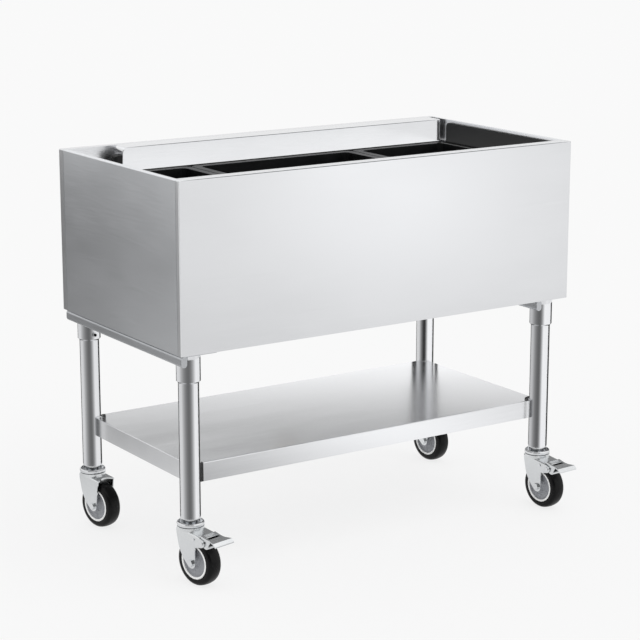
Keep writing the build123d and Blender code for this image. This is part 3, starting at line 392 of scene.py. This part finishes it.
# Seams: a line of sealant on each side, where the returns of the front and back panels meet the
# side panel
half_length = cad_box[1][0]
SEAM_Z, SEAM_HALF, SEAM_HEIGHT = (475.5 * MM, 817.5 * MM), 0.5 * MM, 0.2 * MM
side_low, side_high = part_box("left_side_panel")
for side, sign in SIDES.items():
    for end, y in {"front": side_low[1], "rear": side_high[1]}.items():
        ends = [(sign * half_length, y, z) for z in SEAM_Z]
        points = bar(*ends, (0, 1, 0), (sign, 0, 0), SEAM_HALF, SEAM_HEIGHT)
        piece(f"{side}_{end}_seam", points, False, False, SEALANT_AND_GROOVE_SHADOW, "cart")
# and a painted shadow: a dark grey line in the sealant's colour, in the groove between the left
# panel and the rolled lip of the rail under it
GROOVE_Z, GROOVE_DEPTH, GROOVE_HALF = 473.7 * MM, 2.9 * MM, 1.7 * MM
rail_low, rail_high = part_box("left_leg_rail")
ends = [(GROOVE_DEPTH - half_length, y, GROOVE_Z) for y in (rail_low[1], rail_high[1])]
points = bar(*ends, UP, (-1, 0, 0), GROOVE_HALF, GROOVE_DEPTH)
piece("left_rail_painted_groove_shadow", points, False, False, SEALANT_AND_GROOVE_SHADOW, "cart")

# Painted shade: a thin dark line just under the top of the front rim and along the front edge of
# the ledge, standing in for the shadow line there
SHADE_LINE_DROP, SHADE_LINE_HALF, SHADE_LINE_HEIGHT = 0.8 * MM, 0.65 * MM, 0.15 * MM
for name in ("front_panel", "rear_ledge"):
    marked_part_low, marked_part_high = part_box(name)
    ends = [(x, marked_part_low[1], marked_part_high[2] - SHADE_LINE_DROP) for x in (marked_part_low[0], marked_part_high[0])]
    points = bar(*ends, UP, (0, -1, 0), SHADE_LINE_HALF, SHADE_LINE_HEIGHT)
    piece(f"{name}_painted_shade_line", points, False, False, PAINTED_SHADE_LINE, "cart")

# Drain lever: a dipped sleeve over its grip
SLEEVE_START, SLEEVE_COVER, SLEEVE_WALL, LEVER_HALF = 22 * MM, 2 * MM, 1.2 * MM, 7 * MM
lever_low, lever_high = (np.array(corner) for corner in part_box("drain_valve_lever"))
lever_y = (lever_low[1] + lever_high[1]) / 2
lever_z = JOINTS["drain_turn"]["pos_m"][2]
ends = [(x, lever_y, lever_z) for x in (SLEEVE_START, lever_high[0] + SLEEVE_COVER)]
points = sleeve(*ends, (lever_high[1] - lever_low[1]) / 2 + SLEEVE_WALL, LEVER_HALF + SLEEVE_WALL)
piece("drain_lever_sleeve", points, False, True, GRIP, "drain_handle")

# Camera, at the height, distance and angle of the photograph
CAMERA_PLACE = Vector((-2.307, -3.466, 1.4205))
CAMERA_AZIMUTH, CAMERA_ELEVATION = -33.47, 13.21
LENS_MM, SENSOR_MM = 112.14, 36.0


def direction(azimuth, elevation):
    """The unit vector from the cart towards an azimuth and an elevation.

    Azimuth 0 is in front of the cart, and 90 is to its right.
    """
    a, e = radians(azimuth), radians(elevation)
    return Vector((sin(a) * cos(e), -cos(a) * cos(e), sin(e)))


camera = bpy.data.objects.new("camera", bpy.data.cameras.new("camera"))
camera.data.lens, camera.data.sensor_width = LENS_MM, SENSOR_MM
camera.location = CAMERA_PLACE
camera.rotation_mode = "QUATERNION"
view = -direction(CAMERA_AZIMUTH, CAMERA_ELEVATION)
camera.rotation_quaternion = view.to_track_quat("-Z", "Y")
bpy.context.scene.collection.objects.link(camera)
bpy.context.scene.camera = camera

# Studio: a pale floor under an even sky, a soft sun, and cards that only reflections see. The
# light that the sky gives, as a share of how bright it looks, and how far the floor takes shadows,
# seen straight and in a mirror.
BACKDROP, CARD_WHITE = "#f8f8f8", "#ffffff"
SKY_LIGHT = 0.95
SHADE_SEEN, SHADE_MIRRORED = 0.15, 0.5
FLOOR_HALF = 40.0


def seen_directly(tree):
    """1 for rays from the camera and for reflected and transmitted ones, 0 for diffuse light."""
    path = add(tree, "ShaderNodeLightPath")
    either = path.outputs["Is Camera Ray"]
    for kind in ("Is Glossy Ray", "Is Transmission Ray"):
        rays = {0: either, 1: path.outputs[kind]}
        either = add(tree, "ShaderNodeMath", rays, operation="MAXIMUM").outputs[0]
    return either


world = bpy.data.worlds.new("studio")
bpy.context.scene.world = world
world.use_nodes = True
sky = world.node_tree
sky.nodes.clear()
sky_levels = {"Value": seen_directly(sky), "To Min": SKY_LIGHT, "To Max": 1.0}
sky_level = add(sky, "ShaderNodeMapRange", sky_levels).outputs["Result"]
backdrop = {"Color": linear(BACKDROP), "Strength": sky_level}
sky_surface = add(sky, "ShaderNodeBackground", backdrop).outputs[0]
add(sky, "ShaderNodeOutputWorld", {"Surface": sky_surface})


def stage_sheet(name, points, material):
    """A stage piece over a grid of points."""
    sheet = grid_object(name, points, False, False, material)
    return sheet


# Where the floor looks lighter or darker in the metal: middle, radii, turn, and the share of light
# that is added or taken away
LIGHT_SPOTS = (
    ((0.50, -0.88), (0.62, 0.65), 0, 1.6),
    ((3.3, -4.9), (4.6, 0.9), -55, 1.25),
    ((-0.17, 0.30), (1.3, 1.0), 0, 1.7),
)
DARK_SPOTS = (
    ((-1.85, 4.0), (8.0, 2.3), 113, 0.89),
    ((-0.25, -0.9), (0.55, 0.55), 0, 0.3),
)
pale_floor, tree = empty_material("pale_floor")
place = add(tree, "ShaderNodeTexCoord").outputs["Object"]
mirrored = add(tree, "ShaderNodeLightPath").outputs["Is Glossy Ray"]
changes = []
for spots in (LIGHT_SPOTS, DARK_SPOTS):
    change = 0.0
    for (x, y), (wide, deep), turn, amount in spots:
        oval = {"Vector": place, "Location": (x, y, 0), "Rotation": (0, 0, radians(turn)),
                "Scale": (wide, deep, 1)}
        mapped = add(tree, "ShaderNodeMapping", oval, vector_type="TEXTURE").outputs[0]
        cone = add(tree, "ShaderNodeTexGradient", {"Vector": mapped}, gradient_type="SPHERICAL")
        spot = add(tree, "ShaderNodeMapRange", {"Value": cone.outputs["Fac"]},
                   interpolation_type="SMOOTHSTEP")
        terms = {0: spot.outputs["Result"], 1: amount, 2: change}
        change = add(tree, "ShaderNodeMath", terms, operation="MULTIPLY_ADD").outputs[0]
    terms = {0: mirrored, 1: change}
    changes.append(add(tree, "ShaderNodeMath", terms, operation="MULTIPLY").outputs[0])
lighter, darker = changes
level = add(tree, "ShaderNodeMath", {0: lighter, 1: 1.0}, operation="ADD").outputs[0]
emission = {"Color": linear(BACKDROP), "Strength": level}
glow = add(tree, "ShaderNodeEmission", emission).outputs[0]
matte = add(tree, "ShaderNodeBsdfDiffuse", {"Color": linear(BACKDROP)}).outputs[0]
shades = {"Value": mirrored, "To Min": SHADE_SEEN, "To Max": SHADE_MIRRORED}
shade = add(tree, "ShaderNodeMapRange", shades).outputs["Result"]
lit = add(tree, "ShaderNodeMixShader", {0: shade, 1: glow, 2: matte}).outputs[0]
dimmed = add(tree, "ShaderNodeMixShader", {0: darker, 1: lit}).outputs[0]
shown = add(tree, "ShaderNodeMixShader", {0: seen_directly(tree), 1: matte, 2: dimmed}).outputs[0]
add(tree, "ShaderNodeOutputMaterial", {"Surface": shown})
floor_ends = (-FLOOR_HALF, FLOOR_HALF)
floor_points = np.array([[(x, y, 0.0) for x in floor_ends] for y in floor_ends])
stage_sheet("floor", floor_points, pale_floor)


def card(name, points, ramp, origin, start, end, first, last):
    """A card over a grid of points, which only reflections see, and only from its front.

    Its glow runs from first to last as the distance from the origin along ramp goes from start to
    end.
    """
    material, tree = empty_material(name)
    place = add(tree, "ShaderNodeTexCoord").outputs["Object"]
    offset = add(tree, "ShaderNodeVectorMath", {0: place, 1: origin}, operation="SUBTRACT")
    vectors = {0: offset.outputs[0], 1: ramp}
    along = add(tree, "ShaderNodeVectorMath", vectors, operation="DOT_PRODUCT").outputs["Value"]
    away = add(tree, "ShaderNodeMath", {0: along}, operation="ABSOLUTE").outputs[0]
    levels = {"Value": away, "From Min": start, "From Max": end, "To Min": first, "To Max": last}
    level = add(tree, "ShaderNodeMapRange", levels).outputs["Result"]
    emission = {"Color": linear(CARD_WHITE), "Strength": level}
    glow = add(tree, "ShaderNodeEmission", emission).outputs[0]
    clear = add(tree, "ShaderNodeBsdfTransparent").outputs[0]
    behind = add(tree, "ShaderNodeNewGeometry").outputs["Backfacing"]
    sided = add(tree, "ShaderNodeMixShader", {0: behind, 1: glow, 2: clear}).outputs[0]
    add(tree, "ShaderNodeOutputMaterial", {"Surface": sided})
    sheet = stage_sheet(name, points, material)
    sheet.visible_camera = sheet.visible_diffuse = False
    sheet.visible_shadow = sheet.visible_transmission = False


# Curved flags round each leg give the tube its dark streak and dark edges. A leg has the azimuth
# of its darkest line and the glow there, then for its left and right side the glow and the turn
# from the line where it is full.
LEG_FLAGS = {
    "front_left": (-29.6, 0.17, (0.83, 60), (1.06, 44)),
    "front_right": (-44.0, 0.15, (0.65, 60), (1.12, 30)),
    "rear_left": (-29.0, 0.16, (0.82, 60), (1.00, 38)),
    "rear_right": (-42.0, 0.03, (0.80, 50), (1.15, 30)),
}
LEFT_TURN, RIGHT_TURN, LEFT_EDGE, RIGHT_EDGE, EDGE_GLOW = -98, 85, -42, 50, 0.05
FLAG_R, FLAG_Z, FLAG_STEPS = 31 * MM, (0.1315, 0.46), 25
for corner, (darkest, dark_glow, left_side, right_side) in LEG_FLAGS.items():
    left_glow, left_full = left_side
    right_glow, right_full = right_side
    flags = {
        "left": (darkest, LEFT_TURN, left_full, dark_glow, left_glow),
        "right": (darkest, RIGHT_TURN, right_full, dark_glow, right_glow),
        "left_edge": (darkest + LEFT_TURN, LEFT_EDGE, LEFT_EDGE, EDGE_GLOW, EDGE_GLOW),
        "right_edge": (darkest + RIGHT_TURN, RIGHT_EDGE, RIGHT_EDGE, EDGE_GLOW, EDGE_GLOW),
    }
    for name, (azimuth, turn, full, first, last) in flags.items():
        turns = np.radians(np.linspace(*sorted((azimuth, azimuth + turn)), FLAG_STEPS))
        circle = np.stack([np.sin(turns), -np.cos(turns), np.zeros(FLAG_STEPS)], axis=-1)
        rim = FEET[corner] + FLAG_R * circle
        points = np.stack([rim + FLAG_Z[1] * UP, rim + FLAG_Z[0] * UP])
        outwards = np.array(direction(azimuth, 0))
        origin = FEET[corner] + FLAG_R * outwards
        depth = FLAG_R * (1 - cos(radians(full)))
        card(f"{corner}_{name}_flag", points, outwards, origin, 0, depth, first, last)
# Upright cards: a light one behind the cart for the rear of the shelf, a dark one behind the
# camera, which darkens the bends that face it, and a light one along the right wall of the well,
# which shows in the ledge. The foot, azimuth, half width, heights, and the heights and glows of
# the ramp.
UPRIGHT_CARDS = {
    "shelf_card": ((0.6, 0.85, 0), 150, 1.2, (0.36, 0.75), (0.40, 0.60), (1.45, 0.36)),
    "dark_card": ((-3.9, -4.6, 0), -40, 4.0, (0.0, 5.0), (4.0, 5.0), (0.08, 0.6)),
    "wall_card": ((0.462, 0.013, 0), 90, 0.2, (0.7675, 0.817), (0.0, 1.0), (1.0, 1.0)),
}
for name, (foot, azimuth, half, heights, ramp, glows) in UPRIGHT_CARDS.items():
    sideways = np.array(direction(azimuth + 90, 0)) * half
    points = np.array([[foot + side * sideways + z * UP for side in (1, -1)] for z in heights])
    card(name, points, UP, (0, 0, 0), *ramp, *glows)
# Level cards: a soft box overhead puts white lights on rounded edges, a light one over the tubs
# shows in the walls of the well, and a dark one at the lower edge of the shelf shows in the crowns
# of the forks and in the pedals. The limits along x and y, the height, the glow, and whether it
# faces up.
LEVEL_CARDS = {
    "soft_box": ((-2.5, 2.5), (-4.0, 4.5), 3.0, 1.2, False),
    "tub_card": ((-0.465, 0.465), (-0.19, 0.258), 0.7675, 1.12, True),
    "shade_card": ((-0.44, 0.85), (-0.19, 0.5), 0.204, 0.27, False),
}
for name, (across, along, height, glow, faces_up) in LEVEL_CARDS.items():
    rows = along if faces_up else along[::-1]
    points = np.array([[(x, y, height) for x in across] for y in rows])
    card(name, points, UP, (0, 0, 0), 0, 1, glow, glow)

SUN_ENERGY, SUN_ANGLE, SUN_AZIMUTH, SUN_ELEVATION = 0.65, 50, 20, 60
sun = bpy.data.objects.new("sun", bpy.data.lights.new("sun", "SUN"))
sun.data.energy, sun.data.angle = SUN_ENERGY, radians(SUN_ANGLE)
sun.rotation_mode = "QUATERNION"
sun.rotation_quaternion = direction(SUN_AZIMUTH, SUN_ELEVATION).to_track_quat("Z", "Y")
bpy.context.scene.collection.objects.link(sun)

bpy.context.scene.view_settings.view_transform = "Standard"
